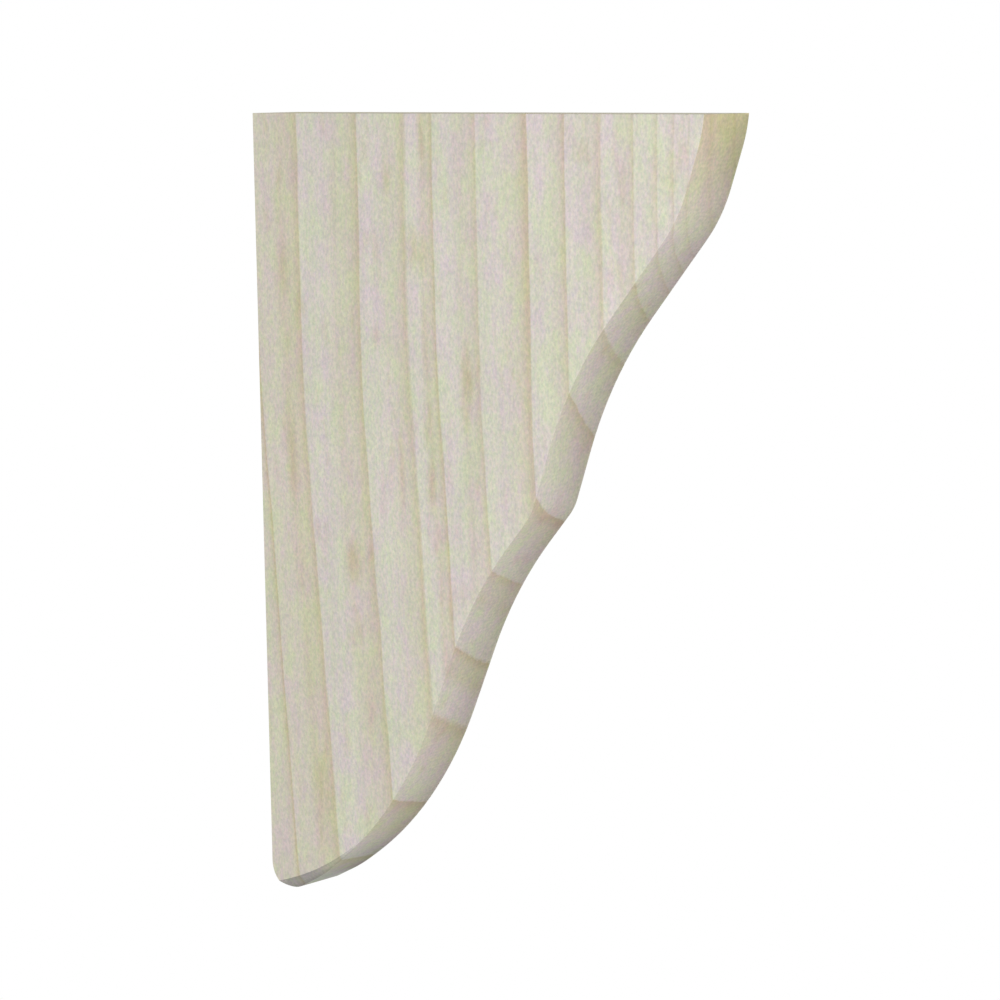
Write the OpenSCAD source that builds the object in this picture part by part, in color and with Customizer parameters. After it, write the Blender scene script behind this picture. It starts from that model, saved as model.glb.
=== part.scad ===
// Corbel bracket sawn from one flat board.
// The square back goes to the wall, the square top carries the shelf, and the free
// edge runs down from a short nose through two hollows to a rounded toe.
// +X runs out from the wall, +Z up, and Y through the board's thickness.
// The origin is the middle of the flat back.

/* [Board] */
// Height of the board, from the shelf to the toe
height = 255.2; // [210:0.1:320]
// Projection from the wall at the top
projection = 190.5; // [158:0.5:240]
// Thickness of the board
thickness = 19; // [12:0.5:38]

/* [Nose] */
// Drop from the top to the nose's crown
crown_drop = 5; // [3:0.5:8]
// Setback of the crown from the top front corner
crown_setback = 0.6; // [0:0.1:1.5]
// Radius of the crown
crown_r = 41; // [5:1:60]
// Drop from the top to the bend below the nose
nose_drop = 28.9; // [20:0.1:40]
// Setback of that bend from the top front corner
nose_setback = 9.5; // [6:0.1:14]
// Radius of the bend
nose_r = 46; // [5:1:60]

/* [Hollows] */
// Drop from the top to the upper hollow
upper_drop = 76.5; // [65:0.5:90]
// Setback of the upper hollow from the top front corner
upper_setback = 52.2; // [42:0.1:58]
// Radius of the upper hollow
upper_r = 130; // [40:1:160]
// Drop from the top to the point between the hollows
point_drop = 117; // [105:0.5:125]
// Setback of the point from the top front corner
point_setback = 67.3; // [62:0.1:74]
// Radius that softens the point
point_r = 18; // [3:1:30]
// Drop from the top to the lower hollow
lower_drop = 144.9; // [135:0.1:150]
// Setback of the lower hollow from the top front corner
lower_setback = 92.9; // [84:0.1:98]
// Radius of the lower hollow
lower_r = 140; // [40:1:170]

/* [Toe] */
// Height of the belly's corner above the lowest level
belly_rise = 35.3; // [28:0.1:42]
// Projection of the belly's corner from the wall
belly_out = 62.9; // [52:0.1:75]
// Radius of the belly
belly_r = 142.5; // [40:0.5:170]
// Height of the sole's corner above the lowest level
sole_rise = 7.5; // [6:0.1:10]
// Projection of the sole's corner from the wall
sole_out = 24; // [20:0.1:30]
// Radius of the sole
sole_r = 84; // [20:1:100]
// Radius of the toe
toe_r = 8; // [5:0.5:10]

/* [Toe Bevel] */
// Slope of the edge where the bevel on its front arris runs out
bevel_end = 43; // [38:1:48]
// Offset of the bevel's round outline from the belly's, which sets how fast it widens
bevel_spread = 12.6; // [5:0.1:16]
// Angle of the bevel to the board's face
bevel_angle = 37; // [30:1:60]

/* [Hidden] */
board_color = [0.80, 0.77, 0.69];
// Largest turn between neighbouring points of a rounded stretch, in degrees
arc_step = 2;
// A rounding reaches at most this part of the way along an edge
reach_limit = 0.98;

// The toe's circle touches the wall plane and the lowest level
toe_centre = [toe_r, toe_r - height];
sole = [sole_out, sole_rise - height];
belly = [belly_out, belly_rise - height];
// The edge leaves the toe's circle along the tangent to the sole's corner
centre_to_sole = sole - toe_centre;
tangent_heading = atan2(centre_to_sole.y, centre_to_sole.x)
    + asin(toe_r / norm(centre_to_sole));
toe_end = toe_centre + toe_r * [sin(tangent_heading), -cos(tangent_heading)];
toe_turn = 90 + tangent_heading;

// Corners of the outline before rounding, from the end of the toe's circle
// anticlockwise to the top at the nose
corners = [
    toe_end,
    sole,
    belly,
    [projection - lower_setback, -lower_drop],
    [projection - point_setback, -point_drop],
    [projection - upper_setback, -upper_drop],
    [projection - nose_setback, -nose_drop],
    [projection - crown_setback, -crown_drop],
    [projection, 0]
];
radii = [0, sole_r, belly_r, lower_r, point_r, upper_r, nose_r, crown_r, 0];
last = len(corners) - 1;
belly_corner = 2;
// The flat back ends where the toe's circle begins
back_middle = -(height - toe_r) / 2;

function unit(v) = v / norm(v);
function edge(i) = corners[i + 1] - corners[i];

// Turn of the outline at corner i, positive where it bulges and negative in a hollow
function turn(i) =
    let (a = unit(edge(i - 1)), b = unit(edge(i)))
    atan2(a.x * b.y - a.y * b.x, a * b);

// Length that a rounding takes from each edge at corner i
function reach(i) = (i == 0 || i == last) ? 0 : radii[i] * tan(abs(turn(i)) / 2);

// Part of their radii that the two roundings on edge i can keep
function room(i) = min(1, reach_limit * norm(edge(i)) / (reach(i) + reach(i + 1)));

function fitted_r(i) = radii[i] * min(room(i - 1), room(i));

function turned(v, angle) =
    [v.x * cos(angle) - v.y * sin(angle), v.x * sin(angle) + v.y * cos(angle)];

// Start of the round stretch at corner i, and the way from its centre to that start
function start(i) =
    corners[i] - unit(edge(i - 1)) * fitted_r(i) * tan(abs(turn(i)) / 2);
function spoke(i) =
    turned(unit(edge(i - 1)), turn(i) > 0 ? -90 : 90) * fitted_r(i);

// Points of a round stretch that turns by an angle about a centre
function arc(centre, spoke, angle) =
    let (steps = ceil(abs(angle) / arc_step))
    [for (k = [0 : steps]) centre + turned(spoke, angle * k / steps)];

// Points of the round stretch at corner i, or the corner itself where it stays sharp
function rounded(i) =
    (i == 0 || i == last) ? [corners[i]] : arc(start(i) - spoke(i), spoke(i), turn(i));

// On the board's face the bevel ends at a circle that crosses the belly's circle
belly_centre = start(belly_corner) - spoke(belly_corner);
run_out = belly_centre + fitted_r(belly_corner) * [sin(bevel_end), -cos(bevel_end)];
bevel_centre = belly_centre + [bevel_spread, 0];
bevel_r = norm(run_out - bevel_centre);
bevel_flare = 1 / tan(bevel_angle);

// The outline in the X-Z plane, with the top edge at the level of the shelf
module outline() {
    toe_arc = arc(toe_centre, [-toe_r, 0], toe_turn);
    edge_points = [for (i = [1 : last]) each rounded(i)];
    polygon(concat([[0, 0]], toe_arc, edge_points));
}

// What the bevel takes off the front arris at the toe: all that is below its upper
// end and outside a cone that opens from the face towards the board's middle
module toe_bevel() {
    difference() {
        translate([-height, -thickness, run_out.y - height])
            cube([2 * height, thickness, height]);
        translate([bevel_centre.x, -thickness, bevel_centre.y])
            rotate([-90, 0, 0])
                cylinder(
                    h = thickness,
                    r1 = bevel_r - bevel_flare * thickness / 2,
                    r2 = bevel_r + bevel_flare * thickness / 2,
                    $fn = 360 / arc_step
                );
    }
}

module bracket() {
    color(board_color)
        translate([0, 0, -back_middle])
            difference() {
                rotate([90, 0, 0])
                    linear_extrude(height = thickness, center = true)
                        outline();
                toe_bevel();
            }
}

bracket();
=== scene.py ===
"""The looks of a pine corbel bracket: one sawn board in bare, sanded wood."""

import math

import bmesh
import bpy
from mathutils import Matrix, Vector

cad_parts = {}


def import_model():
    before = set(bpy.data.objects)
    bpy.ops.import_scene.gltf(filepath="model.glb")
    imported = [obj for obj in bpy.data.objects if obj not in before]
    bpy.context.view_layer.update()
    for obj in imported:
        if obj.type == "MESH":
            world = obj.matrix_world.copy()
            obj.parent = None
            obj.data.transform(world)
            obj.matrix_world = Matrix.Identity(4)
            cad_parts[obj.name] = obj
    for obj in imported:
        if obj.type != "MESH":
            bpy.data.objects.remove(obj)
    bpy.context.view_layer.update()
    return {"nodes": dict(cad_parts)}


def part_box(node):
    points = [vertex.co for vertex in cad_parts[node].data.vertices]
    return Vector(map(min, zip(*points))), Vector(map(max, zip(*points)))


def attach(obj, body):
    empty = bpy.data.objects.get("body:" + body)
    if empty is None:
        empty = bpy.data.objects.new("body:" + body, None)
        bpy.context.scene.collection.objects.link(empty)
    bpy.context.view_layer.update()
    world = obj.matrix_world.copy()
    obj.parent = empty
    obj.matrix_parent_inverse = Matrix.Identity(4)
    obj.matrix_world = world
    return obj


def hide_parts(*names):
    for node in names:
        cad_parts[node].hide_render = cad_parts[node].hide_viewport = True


MM = 0.001

# The board
ARRIS_WIDTH = 0.15 * MM         # sanded softening of the arrises
ARRIS_STEPS = 3
ARRIS_ANGLE = math.radians(25)  # an edge sharper than this is an arris
ROOM_AT_TOP = 0.3 * MM          # the softened top corners take this much of the outline
WELD = 0.001 * MM               # loose corners closer than this are one corner
FLAT_TURN = math.radians(0.2)   # triangles flatter than this join into one face
BROAD = 0.99                    # the two broad faces turn sideways by more than this
SLOPING = (0.3, 0.95)           # and the toe bevel's faces by an amount between these
BEVEL_DEPTH = 1.3 * ARRIS_WIDTH  # deeper than this, the toe bevel, which faces down, gets painted shade
FACET = 9.0 * MM                # sides shorter than this belong to a round stretch
SQUARE_CUT = (0.74, 0.86)       # levelness at which fibres start and end as end grain
TOP_SHARE = 0.15                # how much the planed top shows its end grain
PLANED = 0.3                    # how much of the sawn look the planed top and back have

# The tree's rings run round a line that stands beside and behind the nose
PITH_OUT = 47.5 * MM            # beyond the board's front end
PITH_BACK = 46.0 * MM           # behind the board's middle plane
BEND_DROP = 85.0 * MM           # below this drop from the top the grain leans
BEND_LEAN = 0.085               # sideways run of the leaning grain per unit down
BEND_BLEND = 40.0 * MM          # length over which it starts to lean
RING_EDGE = 0.15 * MM           # half the width of a ring's sharp side

# Rings from the nose to the wall: radius of the sharp side in mm, strength of the
# latewood, and strength of the fainter false ring in its middle
RINGS = [
    (58.0, 0.50, 0.0), (63.5, 0.55, 0.0), (70.0, 0.55, 0.0), (76.5, 0.50, 0.0),
    (80.3, 0.64, 0.0), (84.9, 0.60, 0.0), (91.5, 0.85, 0.3), (101.6, 0.85, 0.1),
    (113.5, 0.95, 0.1), (127.0, 1.25, 0.1), (146.6, 0.82, 0.4), (163.7, 1.30, 0.7),
    (175.5, 1.00, 0.2), (196.5, 1.00, 0.4), (223.7, 0.85, 0.5), (243.7, 1.30, 0.1),
]
RING_REACH = 251.0              # outer side of the last ring, in mm
LINE = (6.5, 0.74)              # power and share of the dark line at a ring's sharp side
SHOULDER = (2.4, 0.28)          # the same for the softer tone that leads up to it
FALSE_RING = (0.6, 0.2)         # its place within a ring, and half its width
FALSE_RING_SHARE = 0.55         # how dark it is beside the latewood
BARK_BLEND = 1.0 * MM           # half the width over which the outer rings' tone starts

# Brown smudges on the front face, all in mm: distance from the wall, drop from the
# top, half width, half height; and how dark each one is
SMUDGES = [
    (97.0, 80.0, 3.4, 17.0, 0.75), (79.5, 94.0, 2.8, 10.0, 0.65),
    (80.5, 113.0, 2.8, 11.0, 0.55), (45.0, 140.0, 5.5, 9.0, 0.60),
    (12.5, 52.0, 5.0, 16.0, 0.38), (15.5, 108.0, 3.6, 18.0, 0.40),
    (63.0, 20.0, 3.0, 8.0, 0.45), (57.0, 68.0, 3.0, 5.0, 0.45),
    (75.5, 42.0, 7.0, 9.0, 0.35), (67.5, 110.0, 2.2, 16.0, 0.40),
    (51.0, 184.0, 3.6, 18.0, 0.40), (27.0, 222.0, 6.0, 18.0, 0.28),
]
SMUDGE_DEPTH = 7.0              # half their depth into the board
SMUDGE_CORE = 0.2               # the part of their size that is darkest

# How many times per metre the wood's patterns vary, out from the wall, through the
# board and up it
WANDER = (18, 18, 11)           # of the rings
RAGS = (420, 420, 24)           # of the rings' sides
BLOTCHES = (110, 110, 38)
FLECKS = (150, 150, 60)
MOTTLE = (150, 150, 75)
CLOUDS = (52, 52, 26)
GRIT = (1200, 1200, 900)

# The saw's marks, along the sawn edge's run and through the board
SAW_PITCH = 1.3 * MM
SAW_SLANT = 0.08                # shift along the edge per unit through the board
SAW_DRIFT = 4.0 * MM            # how far their spacing wanders
SAW_WANDER = (60, 20, 1)        # and how many times per metre

# Bare pine, as linear colours
EARLYWOOD = (0.702, 0.733, 0.550)
EARLYWOOD_PINK = (0.732, 0.647, 0.652)
LATEWOOD = (0.86, 0.79, 0.645)  # what a full line of latewood multiplies that by
OUTER_RINGS = (0.985, 0.975, 0.925)  # the same for the two rings nearest the bark
SAWN = (0.995, 0.990, 0.985)    # for the sawn edge
END_GRAIN = (0.74, 0.80, 0.88)  # for fibres cut straight across
BEVEL = (0.745, 0.710, 0.700)   # painted shade for the toe bevel, which faces down
NOSE = (0.85, 0.81, 0.58)       # and for the edge at the nose, down to NOSE_DROP
NOSE_DROP = 34.0 * MM

# The darkest and lightest tone that each fine pattern multiplies the colour by
CLOUD_TONES = (0.97, 1.03)
STREAK_TONES = (0.972, 1.02)    # of the coarse fibres
FIBRE_TONES = (0.98, 1.01)
GRIT_TONES = (0.91, 1.09)
GRIT_TINT = (0.90, 0.20)        # least value in each channel, and how much it varies

# The surface: how rough it is, and how far the fibres and the saw marks stand out
EARLY_ROUGHNESS = 0.74
LATE_ROUGHNESS = 0.60
SAWN_ROUGHNESS = 0.10           # what the saw adds
SHEEN = 0.25                    # strength of the wood's dull highlight
RELIEF = 0.06 * MM
RELIEF_STRENGTH = 0.35

# The camera's place around the middle of the board, and its lens
VIEW_AZIMUTH = math.radians(45.33)
VIEW_ELEVATION = math.radians(9.07)
VIEW_ROLL = math.radians(-0.72)
VIEW_DISTANCE = 0.8160
VIEW_ASIDE = (-0.00375, -0.01096)  # middle of the board, right of and above the axis
SENSOR = 36.0
LENS = 96.4

# The studio
FLOOR_DROP = 0.35
FLOOR_REACH = 6.0
FLOOR_TONE = (0.75, 0.745, 0.73)
WHITE = (1.0, 1.0, 1.0)
ROOM_LIGHT = 0.70
CARD_GAP = 0.3 * MM             # between the sawn edge and the card behind it
CARD_WIDTH = 32.0 * MM
CARD_END = 1.5 * MM             # the card stops this far above the toe
CARD_TONE = (0.09, 0.05, 0.02)

# Soft boxes: azimuth and elevation in degrees round the middle of the board, distance
# from it and size in metres, and power in watts
LIGHTS = {
    "key": (38, 8, 0.65, 0.35, 1.45),
    "side": (100, -2, 1.6, 1.2, 6.5),
}


# ---------------------------------------------------------------- node helpers

def add_node(tree, kind, inputs=None, **settings):
    """A node of one kind, with its settings, and its inputs linked or set."""
    node = tree.nodes.new(kind)
    for name, value in settings.items():
        setattr(node, name, value)
    inputs = inputs or {}
    for key, value in inputs.items():
        socket = node.inputs[key]
        if isinstance(value, bpy.types.NodeSocket):
            tree.links.new(value, socket)
        else:
            socket.default_value = value
    return node


def math_node(tree, operation, first, second=0.0, third=0.0, clamp=False):
    """The result of one calculation on values or sockets."""
    return add_node(
        tree, "ShaderNodeMath", operation=operation, use_clamp=clamp,
        inputs={0: first, 1: second, 2: third},
    ).outputs[0]


def mix_colour(tree, factor, first, second, blend="MIX"):
    """Two colours mixed, each a socket or three channels."""
    first, second = (
        (*colour, 1.0) if isinstance(colour, tuple) else colour
        for colour in (first, second)
    )
    return add_node(
        tree, "ShaderNodeMix", data_type="RGBA", blend_type=blend,
        inputs={0: factor, 6: first, 7: second},
    ).outputs[2]


def multiplied(tree, colour, tone, share=1.0):
    """A colour times a tone, in full where share is 1 and not at all where it is 0."""
    return mix_colour(tree, share, colour, tone, "MULTIPLY")


def rescale(tree, value, low, high, to_low=0.0, to_high=1.0):
    """A value's range from low to high, spread over another range and held to it."""
    return add_node(
        tree, "ShaderNodeMapRange",
        inputs={0: value, 1: low, 2: high, 3: to_low, 4: to_high},
    ).outputs[0]


def stretched(tree, vector, scale):
    """A vector times a scale along each axis."""
    return add_node(
        tree, "ShaderNodeVectorMath", operation="MULTIPLY",
        inputs={0: vector, 1: scale},
    ).outputs[0]


def noise(tree, place, fineness, detail=2.0, roughness=0.5):
    """Noise that varies so many times per metre along each axis: value and colour."""
    outputs = add_node(
        tree, "ShaderNodeTexNoise",
        inputs={
            "Vector": stretched(tree, place, fineness), "Scale": 1.0,
            "Detail": detail, "Roughness": roughness,
        },
    ).outputs
    return outputs["Fac"], outputs["Color"]


def new_group(name, inputs, outputs):
    """A shader group with named sockets: (name, kind, default) and (name, kind)."""
    group = bpy.data.node_groups.new(name, "ShaderNodeTree")
    for title, kind, default in inputs:
        socket = group.interface.new_socket(title, in_out="INPUT", socket_type=kind)
        if default is not None:
            socket.default_value = default
    for title, kind in outputs:
        group.interface.new_socket(title, in_out="OUTPUT", socket_type=kind)
    source = group.nodes.new("NodeGroupInput")
    sink = group.nodes.new("NodeGroupOutput")
    return group, source.outputs, sink.inputs


def use_group(tree, group, **inputs):
    """The outputs of a group that is placed in a tree with its own values."""
    return add_node(tree, "ShaderNodeGroup", inputs, node_tree=group).outputs


def empty_material(name):
    """A material whose nodes are still to be added, and its tree."""
    material = bpy.data.materials.new(name)
    material.use_nodes = True
    material.node_tree.nodes.clear()
    return material, material.node_tree


def add_object(name, data):
    """A new object in the scene."""
    thing = bpy.data.objects.new(name, data)
    bpy.context.scene.collection.objects.link(thing)
    return thing


# ---------------------------------------------------------------- wood grain

def ring_table(tree, radius):
    """At a radius: place within its ring, and strengths of the ring and false ring.

    The place runs from 0 on a ring's pale side to 1 at its sharp side.
    """
    first_mm, last_mm = RINGS[0][0], RING_REACH
    along = rescale(tree, radius, first_mm * MM, last_mm * MM)
    ramp = add_node(tree, "ShaderNodeValToRGB", inputs={0: along})
    stops = ramp.color_ramp.elements
    while len(stops) > 1:
        stops.remove(stops[-1])
    stops[0].position = 0.0
    stops[0].color = (1.0, *RINGS[0][1:], 1.0)
    edge_mm = RING_EDGE / MM
    for inner, ring in zip(RINGS, RINGS[1:]):
        for radius_mm, phase, own in (
            (ring[0] - edge_mm, 0.0, inner), (ring[0] + edge_mm, 1.0, ring),
        ):
            stop = stops.new((radius_mm - first_mm) / (last_mm - first_mm))
            stop.color = (phase, *own[1:], 1.0)
    stops.new(1.0).color = (0.0, *RINGS[-1][1:], 1.0)
    read = add_node(
        tree, "ShaderNodeSeparateColor", inputs={0: ramp.outputs["Color"]}
    ).outputs
    return read["Red"], read["Green"], read["Blue"]


def growth_ring_group(board_box):
    """Rings round a line: how much latewood is there, and how much false ring."""
    group, given, result = new_group(
        "growth_rings",
        [
            ("Vector", "NodeSocketVector", None),
            ("Waviness", "NodeSocketFloat", 1.0 * MM),
            ("Raggedness", "NodeSocketFloat", 0.5 * MM),
        ],
        [
            ("Latewood", "NodeSocketFloat"), ("False Ring", "NodeSocketFloat"),
            ("Outer Rings", "NodeSocketFloat"),
        ],
    )
    low, high = board_box
    place = add_node(group, "ShaderNodeSeparateXYZ", inputs={0: given["Vector"]}).outputs
    drop = math_node(group, "SUBTRACT", high[2], place["Z"])
    below = math_node(group, "SUBTRACT", drop, BEND_DROP)
    leaning = math_node(group, "SMOOTH_MAX", below, 0.0, BEND_BLEND)
    pith_x = math_node(
        group, "MULTIPLY_ADD", leaning, BEND_LEAN, high[0] + PITH_OUT
    )
    away = math_node(group, "SUBTRACT", pith_x, place["X"])
    behind = math_node(group, "SUBTRACT", PITH_BACK, place["Y"])
    flat = add_node(
        group, "ShaderNodeCombineXYZ", inputs={0: away, 1: behind},
    ).outputs[0]
    radius = add_node(
        group, "ShaderNodeVectorMath", operation="LENGTH", inputs={0: flat},
    ).outputs["Value"]
    slow, _ = noise(group, given["Vector"], WANDER)
    radius = math_node(
        group, "MULTIPLY_ADD", math_node(group, "SUBTRACT", slow, 0.5),
        given["Waviness"], radius,
    )
    fine, _ = noise(group, given["Vector"], RAGS, 3.0, 0.6)
    radius = math_node(
        group, "MULTIPLY_ADD", math_node(group, "SUBTRACT", fine, 0.5),
        given["Raggedness"], radius,
    )

    phase, strength, false_strength = ring_table(group, radius)
    line, shoulder = (
        math_node(group, "MULTIPLY", math_node(group, "POWER", phase, power), share)
        for power, share in (LINE, SHOULDER)
    )
    late = math_node(group, "ADD", line, shoulder)
    late = math_node(group, "MULTIPLY", late, strength, clamp=True)
    place_within, half_width = FALSE_RING
    off_middle = math_node(
        group, "ABSOLUTE", math_node(group, "SUBTRACT", phase, place_within)
    )
    hump = rescale(group, off_middle, half_width, 0.0)
    hump = math_node(group, "MULTIPLY", hump, false_strength)
    outer_edge = RINGS[-2][0] * MM
    outer = rescale(group, radius, outer_edge - BARK_BLEND, outer_edge + BARK_BLEND)
    group.links.new(late, result["Latewood"])
    group.links.new(hump, result["False Ring"])
    group.links.new(outer, result["Outer Rings"])
    return group


def smudge_group(board_box):
    """Brown smudges where the board has them, each up to its own darkness."""
    group, given, result = new_group(
        "smudges", [("Vector", "NodeSocketVector", None)],
        [("Smudges", "NodeSocketFloat")],
    )
    low, high = board_box
    total = 0.0
    for out, drop, half_width, half_height, darkness in SMUDGES:
        centre = (low[0] + out * MM, low[1], high[2] - drop * MM)
        away = add_node(
            group, "ShaderNodeVectorMath", operation="SUBTRACT",
            inputs={0: given["Vector"], 1: centre},
        ).outputs[0]
        sizes = (half_width, SMUDGE_DEPTH, half_height)
        share = stretched(group, away, tuple(1.0 / (size * MM) for size in sizes))
        gap = add_node(
            group, "ShaderNodeVectorMath", operation="LENGTH", inputs={0: share},
        ).outputs["Value"]
        one = rescale(group, gap, 1.0, SMUDGE_CORE, 0.0, darkness)
        total = math_node(group, "ADD", one, total)
    group.links.new(total, result["Smudges"])
    return group


def fibre_group():
    """Long thin fibres down the board, from 0 between them to 1 on them."""
    group, given, result = new_group(
        "fibres",
        [
            ("Vector", "NodeSocketVector", None),
            ("Across", "NodeSocketFloat", 900.0),
            ("Along", "NodeSocketFloat", 16.0),
        ],
        [("Fibres", "NodeSocketFloat")],
    )
    fineness = add_node(
        group, "ShaderNodeCombineXYZ",
        inputs={0: given["Across"], 1: given["Across"], 2: given["Along"]},
    ).outputs[0]
    streak, _ = noise(group, given["Vector"], fineness, 3.0, 0.6)
    group.links.new(rescale(group, streak, 0.3, 0.7), result["Fibres"])
    return group


def saw_mark_group():
    """Fine ripples that the saw leaves across the edge, along the edge's own run."""
    group, given, result = new_group(
        "saw_marks",
        [
            ("Run", "NodeSocketVector", None),
            ("Pitch", "NodeSocketFloat", SAW_PITCH),
        ],
        [("Marks", "NodeSocketFloat")],
    )
    uneven, _ = noise(group, given["Run"], SAW_WANDER)
    place = add_node(group, "ShaderNodeSeparateXYZ", inputs={0: given["Run"]}).outputs
    shifted = math_node(group, "MULTIPLY_ADD", uneven, SAW_DRIFT, place["X"])
    slanted = math_node(group, "MULTIPLY_ADD", place["Y"], SAW_SLANT, shifted)
    turns = math_node(group, "DIVIDE", slanted, given["Pitch"])
    wave = math_node(group, "SINE", math_node(group, "MULTIPLY", turns, math.tau))
    group.links.new(rescale(group, wave, -1.0, 1.0), result["Marks"])
    return group


def latewood_amount(tree, place, board_box, coarse):
    """How dark latewood, flecks and smudges are, and where the outer rings lie."""
    rings = use_group(
        tree, growth_ring_group(board_box),
        Vector=place, Waviness=3.2 * MM, Raggedness=1.1 * MM,
    )
    blotches, _ = noise(tree, place, BLOTCHES)
    flecks, _ = noise(tree, place, FLECKS, 3.0, 0.55)
    smudges = use_group(tree, smudge_group(board_box), Vector=place)["Smudges"]

    streaky = rescale(tree, coarse, 0.0, 1.0, 0.75, 1.15)
    late = math_node(tree, "MULTIPLY", rings["Latewood"], streaky)
    blotchy = rescale(tree, blotches, 0.32, 0.7, 0.35, 1.5)
    hump = math_node(tree, "MULTIPLY", rings["False Ring"], blotchy)
    late = math_node(tree, "MULTIPLY_ADD", hump, FALSE_RING_SHARE, late)
    late = math_node(tree, "ADD", late, rescale(tree, flecks, 0.58, 0.74, 0.0, 0.35))
    patchy = rescale(tree, flecks, 0.34, 0.6, 0.45, 1.35)
    late = math_node(tree, "MULTIPLY_ADD", smudges, patchy, late, clamp=True)
    return late, rings["Outer Rings"]


def face_colour(tree, place, late, outer_rings, fine, coarse, grit, grit_tints):
    """The colour of the two broad faces, where the fibres lie along the surface."""
    mottle, _ = noise(tree, place, MOTTLE, 5.0, 0.72)
    clouds, _ = noise(tree, place, CLOUDS, 4.0, 0.62)
    colour = mix_colour(
        tree, rescale(tree, mottle, 0.37, 0.63), EARLYWOOD, EARLYWOOD_PINK
    )
    colour = multiplied(tree, colour, OUTER_RINGS, outer_rings)
    colour = multiplied(tree, colour, rescale(tree, clouds, 0.3, 0.7, *CLOUD_TONES))
    colour = multiplied(tree, colour, mix_colour(tree, late, WHITE, LATEWOOD))
    colour = multiplied(tree, colour, rescale(tree, coarse, 0.0, 1.0, *STREAK_TONES))
    colour = multiplied(tree, colour, rescale(tree, fine, 0.0, 1.0, *FIBRE_TONES))
    colour = multiplied(tree, colour, rescale(tree, grit, 0.3, 0.7, *GRIT_TONES))
    least, spread = GRIT_TINT
    tints = add_node(
        tree, "ShaderNodeVectorMath", operation="MULTIPLY_ADD",
        inputs={0: grit_tints, 1: (spread,) * 3, 2: (least,) * 3},
    ).outputs[0]
    return multiplied(tree, colour, tints)


def edge_colour(tree, place, board_box, colour, sawn):
    """The same wood where it is sawn, cut across or near the nose's end, and painted shade
    on the toe bevel.
    """
    cut = add_node(tree, "ShaderNodeAttribute", attribute_name="cut_across").outputs["Fac"]
    bevel_shade = add_node(tree, "ShaderNodeAttribute", attribute_name="bevel").outputs["Fac"]
    colour = multiplied(tree, colour, SAWN, sawn)
    colour = multiplied(tree, colour, END_GRAIN, cut)
    # Painted shade: the toe bevel faces down, so its colour is darkened here
    colour = multiplied(tree, colour, BEVEL, bevel_shade)
    level = add_node(tree, "ShaderNodeSeparateXYZ", inputs={0: place}).outputs["Z"]
    top = board_box[1].z
    at_nose = math_node(
        tree, "MULTIPLY", rescale(tree, level, top - NOSE_DROP, top), sawn
    )
    return multiplied(tree, colour, NOSE, at_nose)


def wood_relief(tree, late, fine, coarse, grit, sawn):
    """Normals that lift latewood and fibres, and the saw's marks where it is sawn."""
    run = add_node(tree, "ShaderNodeUVMap", uv_map="edge_run").outputs["UV"]
    marks = use_group(tree, saw_mark_group(), Run=run)["Marks"]
    relief = math_node(tree, "MULTIPLY", late, 0.5)
    relief = math_node(tree, "MULTIPLY_ADD", fine, 0.25, relief)
    relief = math_node(tree, "MULTIPLY_ADD", coarse, 0.25, relief)
    marks = math_node(tree, "MULTIPLY_ADD", grit, 0.4, marks)
    relief = math_node(tree, "ADD", relief, math_node(tree, "MULTIPLY", marks, sawn))
    return add_node(
        tree, "ShaderNodeBump",
        inputs={
            "Strength": RELIEF_STRENGTH, "Distance": RELIEF, "Height": relief,
        },
    ).outputs["Normal"]


def bare_pine(board_box):
    """Bare sanded pine: rings, fibres, end grain and the sawn edge's marks."""
    material, tree = empty_material("bare_pine")
    place = add_node(tree, "ShaderNodeTexCoord").outputs["Object"]
    sawn = add_node(tree, "ShaderNodeAttribute", attribute_name="sawn").outputs["Fac"]
    fibres = fibre_group()
    fine = use_group(tree, fibres, Vector=place, Across=1100.0, Along=30.0)["Fibres"]
    coarse = use_group(tree, fibres, Vector=place, Across=260.0, Along=9.0)["Fibres"]
    grit, grit_tints = noise(tree, place, GRIT, 2.0, 0.6)

    late, outer_rings = latewood_amount(tree, place, board_box, coarse)
    colour = face_colour(
        tree, place, late, outer_rings, fine, coarse, grit, grit_tints
    )
    colour = edge_colour(tree, place, board_box, colour, sawn)

    # Latewood is denser, so it sands a little smoother
    roughness = rescale(tree, late, 0.0, 1.0, EARLY_ROUGHNESS, LATE_ROUGHNESS)
    roughness = math_node(
        tree, "MULTIPLY_ADD", sawn, SAWN_ROUGHNESS, roughness, clamp=True
    )
    surface = add_node(
        tree, "ShaderNodeBsdfPrincipled",
        inputs={
            "Base Color": colour, "Roughness": roughness,
            "Normal": wood_relief(tree, late, fine, coarse, grit, sawn),
            "Specular IOR Level": SHEEN,
        },
    )
    add_node(
        tree, "ShaderNodeOutputMaterial", inputs={"Surface": surface.outputs["BSDF"]}
    )
    return material


# ---------------------------------------------------------------- the board

def is_broad(face):
    return abs(face.normal.y) > BROAD


def is_sloping(face):
    return SLOPING[0] < abs(face.normal.y) < SLOPING[1]


def outline_loop(node, side):
    """The board's outline as (x, z) corners in order, read off one broad face."""
    bm = bmesh.new()
    bm.from_mesh(node.data)
    bmesh.ops.remove_doubles(bm, verts=bm.verts, dist=WELD)
    rim = [
        edge for edge in bm.edges
        if all(abs(v.co.y - side) < WELD for v in edge.verts)
        and sum(is_broad(face) for face in edge.link_faces) == 1
    ]
    follow = {}
    for edge in rim:
        a, b = edge.verts
        follow.setdefault(a, []).append(b)
        follow.setdefault(b, []).append(a)
    start = min(follow, key=lambda v: (round(v.co.x, 6), -v.co.z))
    loop, before, here = [start], None, start
    while True:
        ahead = [v for v in follow[here] if v is not before and v is not here]
        if before is None:
            ahead = [max(ahead, key=lambda v: v.co.x)]
        before, here = here, ahead[0]
        if here is start:
            break
        loop.append(here)
    corners = [(v.co.x, v.co.z) for v in loop]
    bm.free()
    return corners


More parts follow.
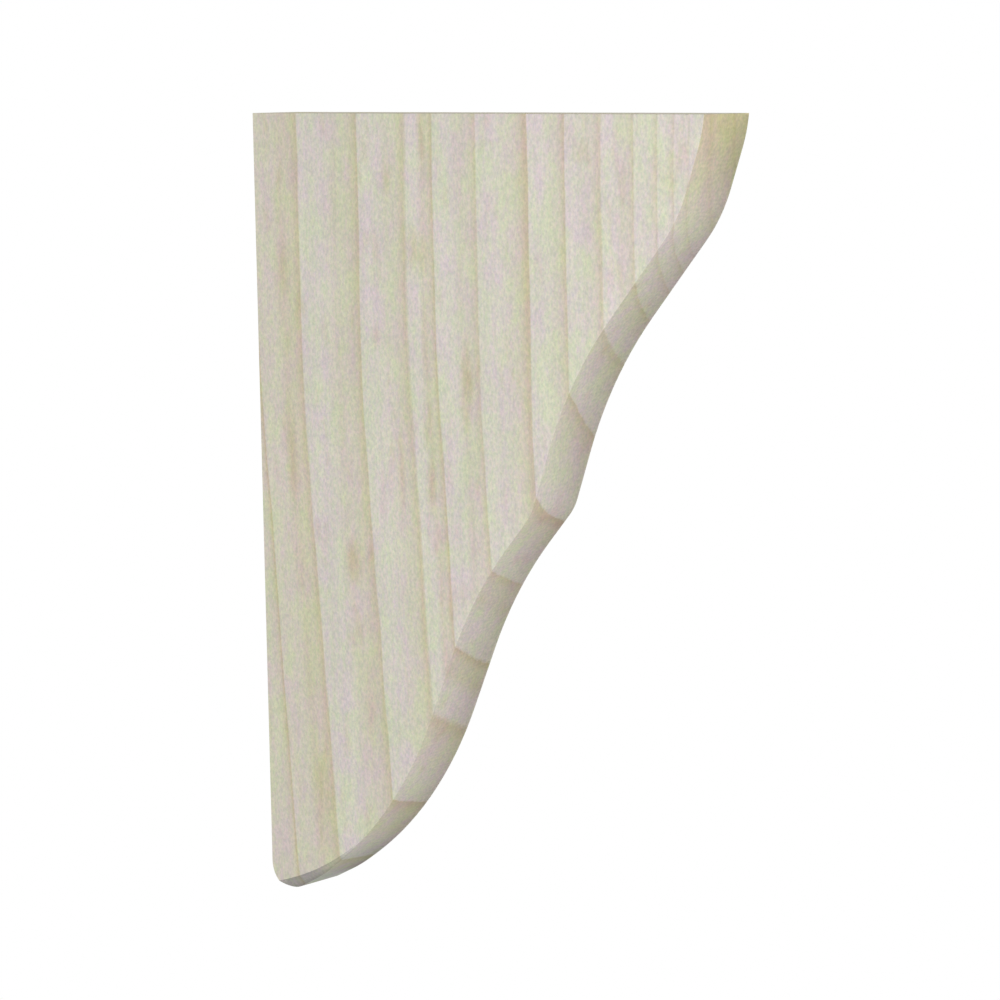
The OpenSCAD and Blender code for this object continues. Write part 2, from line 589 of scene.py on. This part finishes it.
def join_short_steps(bm):
    """Joins the outline's corners just below the top with the top's own corners."""
    top = max(v.co.z for v in bm.verts)
    ends = [v for v in bm.verts if top - v.co.z < WELD]
    near = [v for v in bm.verts if WELD <= top - v.co.z < ROOM_AT_TOP]
    onto = {v: min(ends, key=lambda end: (end.co - v.co).length) for v in near}
    bmesh.ops.weld_verts(bm, targetmap=onto)


def choose_arrises(bm):
    """Marks the edges to soften: all the sharp ones but those of the toe bevel."""
    chosen = bm.edges.layers.float.new("bevel_weight_edge")
    for edge in bm.edges:
        sloping = any(is_sloping(face) for face in edge.link_faces)
        if edge.calc_face_angle(0.0) > ARRIS_ANGLE and not sloping:
            edge[chosen] = 1.0


def sawn_board(node, material):
    """The board with softened arrises, from a welded copy of its CAD solid."""
    mesh = node.data.copy()
    mesh.name = "bracket_board"
    bm = bmesh.new()
    bm.from_mesh(mesh)
    bmesh.ops.remove_doubles(bm, verts=bm.verts, dist=WELD)
    join_short_steps(bm)
    bmesh.ops.dissolve_limit(
        bm, angle_limit=FLAT_TURN, verts=bm.verts, edges=bm.edges,
    )
    bm.normal_update()
    choose_arrises(bm)
    bm.to_mesh(mesh)
    bm.free()
    mesh.materials.clear()
    mesh.materials.append(material)
    board = add_object("bracket_board", mesh)
    soften = board.modifiers.new("soften", "BEVEL")
    soften.width = ARRIS_WIDTH
    soften.segments = ARRIS_STEPS
    soften.limit_method = "WEIGHT"
    soften.use_clamp_overlap = False
    soften.miter_outer = "MITER_ARC"
    for face in mesh.polygons:
        face.use_smooth = True
    flatten = board.modifiers.new("flatten", "WEIGHTED_NORMAL")
    flatten.weight = 100
    depsgraph = bpy.context.evaluated_depsgraph_get()
    finished = bpy.data.meshes.new_from_object(board.evaluated_get(depsgraph))
    board.modifiers.clear()
    board.data = finished
    finished.name = "bracket_board"
    return board


def outline_runs(corners):
    """For each side of the outline: the run up to it, its length and how level it is."""
    count = len(corners)
    sides, run = [], 0.0
    for k in range(count):
        (ax, az), (bx, bz) = corners[k], corners[(k + 1) % count]
        length = math.hypot(bx - ax, bz - az)
        sides.append((run, length, abs(bx - ax) / length))
        run += length
    return sides


def nearest_on_outline(corners, sides, x, z):
    """Run and levelness of the outline at its point nearest to (x, z)."""
    best_gap, best = None, (0.0, 0.0)
    count = len(corners)
    for k, (run, length, level) in enumerate(sides):
        (ax, az), (bx, bz) = corners[k], corners[(k + 1) % count]
        share = ((x - ax) * (bx - ax) + (z - az) * (bz - az)) / length ** 2
        share = min(1.0, max(0.0, share))
        gap = (ax + share * (bx - ax) - x) ** 2 + (az + share * (bz - az) - z) ** 2
        if best_gap is None or gap < best_gap:
            ahead, behind = sides[(k + 1) % count], sides[k - 1]
            side = ahead if share > 0.5 else behind
            if length < FACET and side[1] < FACET:
                level += (side[2] - level) * abs(share - 0.5)
            best_gap, best = gap, (run + share * length, level)
    return best


def end_grain_share(level):
    """How far fibres are cut across where the outline is this level."""
    start, end = SQUARE_CUT
    return min(1.0, max(0.0, (level - start) / (end - start)))


def mark_surfaces(board, corners):
    """Stores where the edge runs, where it is sawn, where fibres are cut across, and where
    the toe bevel gets painted shade.
    """
    mesh = board.data
    spots = [vertex.co.copy() for vertex in mesh.vertices]
    low, high = min(at.y for at in spots), max(at.y for at in spots)
    wall, top = min(at.x for at in spots), max(at.z for at in spots)
    sides = outline_runs(corners)
    nearest = [nearest_on_outline(corners, sides, at.x, at.z) for at in spots]
    mesh.uv_layers.new(name="edge_run")
    for name in ("cut_across", "sawn", "bevel"):
        mesh.attributes.new(name, "FLOAT", "CORNER")
    uv = mesh.uv_layers["edge_run"].data
    cut = mesh.attributes["cut_across"].data
    sawn = mesh.attributes["sawn"].data
    bevel_shade = mesh.attributes["bevel"].data
    for face in mesh.polygons:
        amid = min(face.center.y - low, high - face.center.y) > 2 * ARRIS_WIDTH
        depth = max(spots[index].y for index in face.vertices) - low
        bevel = is_sloping(face) and BEVEL_DEPTH < depth < (high - low) / 2
        on_top = top - face.center.z < WELD
        planed = on_top or face.center.x - wall < WELD
        for loop_index in face.loop_indices:
            index = mesh.loops[loop_index].vertex_index
            at = spots[index]
            run, level = nearest[index]
            square = end_grain_share(float(on_top) if planed else level)
            inside = min(at.y - low, high - at.y)
            edge_share = 1.0 if amid else min(1.0, inside / ARRIS_WIDTH)
            edge_share *= float(not is_broad(face))
            cut_share = 1.0 if bevel else edge_share * (TOP_SHARE if on_top else 1.0)
            uv[loop_index].uv = (run, at.y)
            cut[loop_index].value = square * cut_share
            # Painted shade mask: the faces of the toe bevel, which faces down
            bevel_shade[loop_index].value = square * float(bevel)
            sawn[loop_index].value = edge_share * (PLANED if planed else 1.0)


# ---------------------------------------------------------------- the studio

def white_floor(level):
    """A pale floor that stays white to the eye and throws little light back."""
    mesh = bpy.data.meshes.new("floor")
    reach = FLOOR_REACH
    mesh.from_pydata(
        [(-reach, -reach, level), (reach, -reach, level),
         (reach, reach, level), (-reach, reach, level)],
        [], [(0, 1, 2, 3)],
    )
    material, tree = empty_material("studio_white")
    seen = add_node(tree, "ShaderNodeLightPath").outputs["Is Camera Ray"]
    matt = add_node(
        tree, "ShaderNodeBsdfDiffuse", inputs={"Color": (*FLOOR_TONE, 1)}
    )
    glow = add_node(tree, "ShaderNodeEmission", inputs={"Color": (*WHITE, 1)})
    blend = add_node(
        tree, "ShaderNodeMixShader",
        inputs={0: seen, 1: matt.outputs[0], 2: glow.outputs[0]},
    )
    add_node(tree, "ShaderNodeOutputMaterial", inputs={"Surface": blend.outputs[0]})
    mesh.materials.append(material)
    return add_object("floor", mesh)


def dark_card(corners, depth, level_low, level_top):
    """A narrow dark card behind the sawn edge, which keeps light off its far side."""
    sides = [
        (Vector(a), Vector(b)) for a, b in zip(corners, corners[1:] + corners[:1])
    ]
    turns_left = sum(a.x * b.y - b.x * a.y for a, b in sides) > 0
    outward = 1.0 if turns_left else -1.0
    points, faces = [], []
    for a, b in sides:
        on_top = min(a.y, b.y) > level_top - WELD
        on_wall = max(a.x, b.x) < WELD
        if on_top or on_wall or min(a.y, b.y) <= level_low + CARD_END:
            continue
        along = (b - a).normalized()
        out = Vector((along.y, -along.x)) * outward
        first = len(points)
        for corner, reach in (
            (a, CARD_GAP), (b, CARD_GAP), (b, CARD_WIDTH), (a, CARD_WIDTH),
        ):
            spot = corner + out * reach
            points.append((spot.x, depth, spot.y))
        faces.append((first, first + 1, first + 2, first + 3))
    mesh = bpy.data.meshes.new("dark_card")
    mesh.from_pydata(points, [], faces)
    material, tree = empty_material("card_black")
    matt = add_node(
        tree, "ShaderNodeBsdfDiffuse", inputs={"Color": (*CARD_TONE, 1)}
    )
    add_node(tree, "ShaderNodeOutputMaterial", inputs={"Surface": matt.outputs[0]})
    mesh.materials.append(material)
    card = add_object("dark_card", mesh)
    card.visible_camera = False
    return card


def studio_world():
    """White behind everything, and a dimmer room as the light around."""
    world = bpy.data.worlds.new("studio")
    world.use_nodes = True
    tree = world.node_tree
    tree.nodes.clear()
    seen = add_node(tree, "ShaderNodeLightPath").outputs["Is Camera Ray"]
    room = add_node(
        tree, "ShaderNodeBackground",
        inputs={"Color": (*WHITE, 1), "Strength": ROOM_LIGHT},
    )
    backdrop = add_node(
        tree, "ShaderNodeBackground", inputs={"Color": (*WHITE, 1), "Strength": 1.0},
    )
    blend = add_node(
        tree, "ShaderNodeMixShader",
        inputs={0: seen, 1: room.outputs[0], 2: backdrop.outputs[0]},
    )
    add_node(tree, "ShaderNodeOutputWorld", inputs={"Surface": blend.outputs[0]})
    bpy.context.scene.world = world


def soft_light(name, target, azimuth, elevation, distance, size, power):
    """A square soft box, facing target from an azimuth and elevation in degrees."""
    light = bpy.data.lights.new(name, "AREA")
    light.shape = "SQUARE"
    light.size = size
    light.energy = power
    lamp = add_object(name, light)
    turn, lift = math.radians(azimuth), math.radians(elevation)
    out = Vector((
        math.sin(turn) * math.cos(lift), -math.cos(turn) * math.cos(lift), math.sin(lift),
    ))
    lamp.location = target + out * distance
    lamp.rotation_euler = (-out).to_track_quat("-Z", "Y").to_euler()


def studio_camera(middle):
    """The camera, placed by its direction, roll and distance from the board."""
    cos_a, sin_a = math.cos(VIEW_AZIMUTH), math.sin(VIEW_AZIMUTH)
    cos_e, sin_e = math.cos(VIEW_ELEVATION), math.sin(VIEW_ELEVATION)
    forward = Vector((-sin_a * cos_e, cos_a * cos_e, -sin_e))
    level_right = Vector((cos_a, sin_a, 0.0))
    level_up = level_right.cross(forward)
    right = math.cos(VIEW_ROLL) * level_right + math.sin(VIEW_ROLL) * level_up
    up = right.cross(forward)
    place = middle - forward * VIEW_DISTANCE
    place -= right * VIEW_ASIDE[0] + up * VIEW_ASIDE[1]
    data = bpy.data.cameras.new("camera")
    data.sensor_width = SENSOR
    data.lens = LENS
    camera = add_object("camera", data)
    turn = Matrix((right, up, -forward)).transposed()
    camera.matrix_world = Matrix.Translation(place) @ turn.to_4x4()
    bpy.context.scene.camera = camera


# ---------------------------------------------------------------- the scene

def build():
    """The board in its place, and the studio around it."""
    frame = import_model()
    board_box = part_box("bracket")
    node = frame["nodes"]["bracket"]
    low, high = Vector(board_box[0]), Vector(board_box[1])
    middle = (low + high) / 2

    studio_camera(middle)
    studio_world()
    for name, setting in LIGHTS.items():
        soft_light(name, middle, *setting)
    bpy.context.scene.view_settings.view_transform = "Standard"

    corners = outline_loop(node, high.y)
    board = sawn_board(node, bare_pine((low, high)))
    mark_surfaces(board, corners)
    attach(board, "root")
    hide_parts("bracket")

    white_floor(low.z - FLOOR_DROP)
    dark_card(corners, high.y, low.z, high.z)


build()
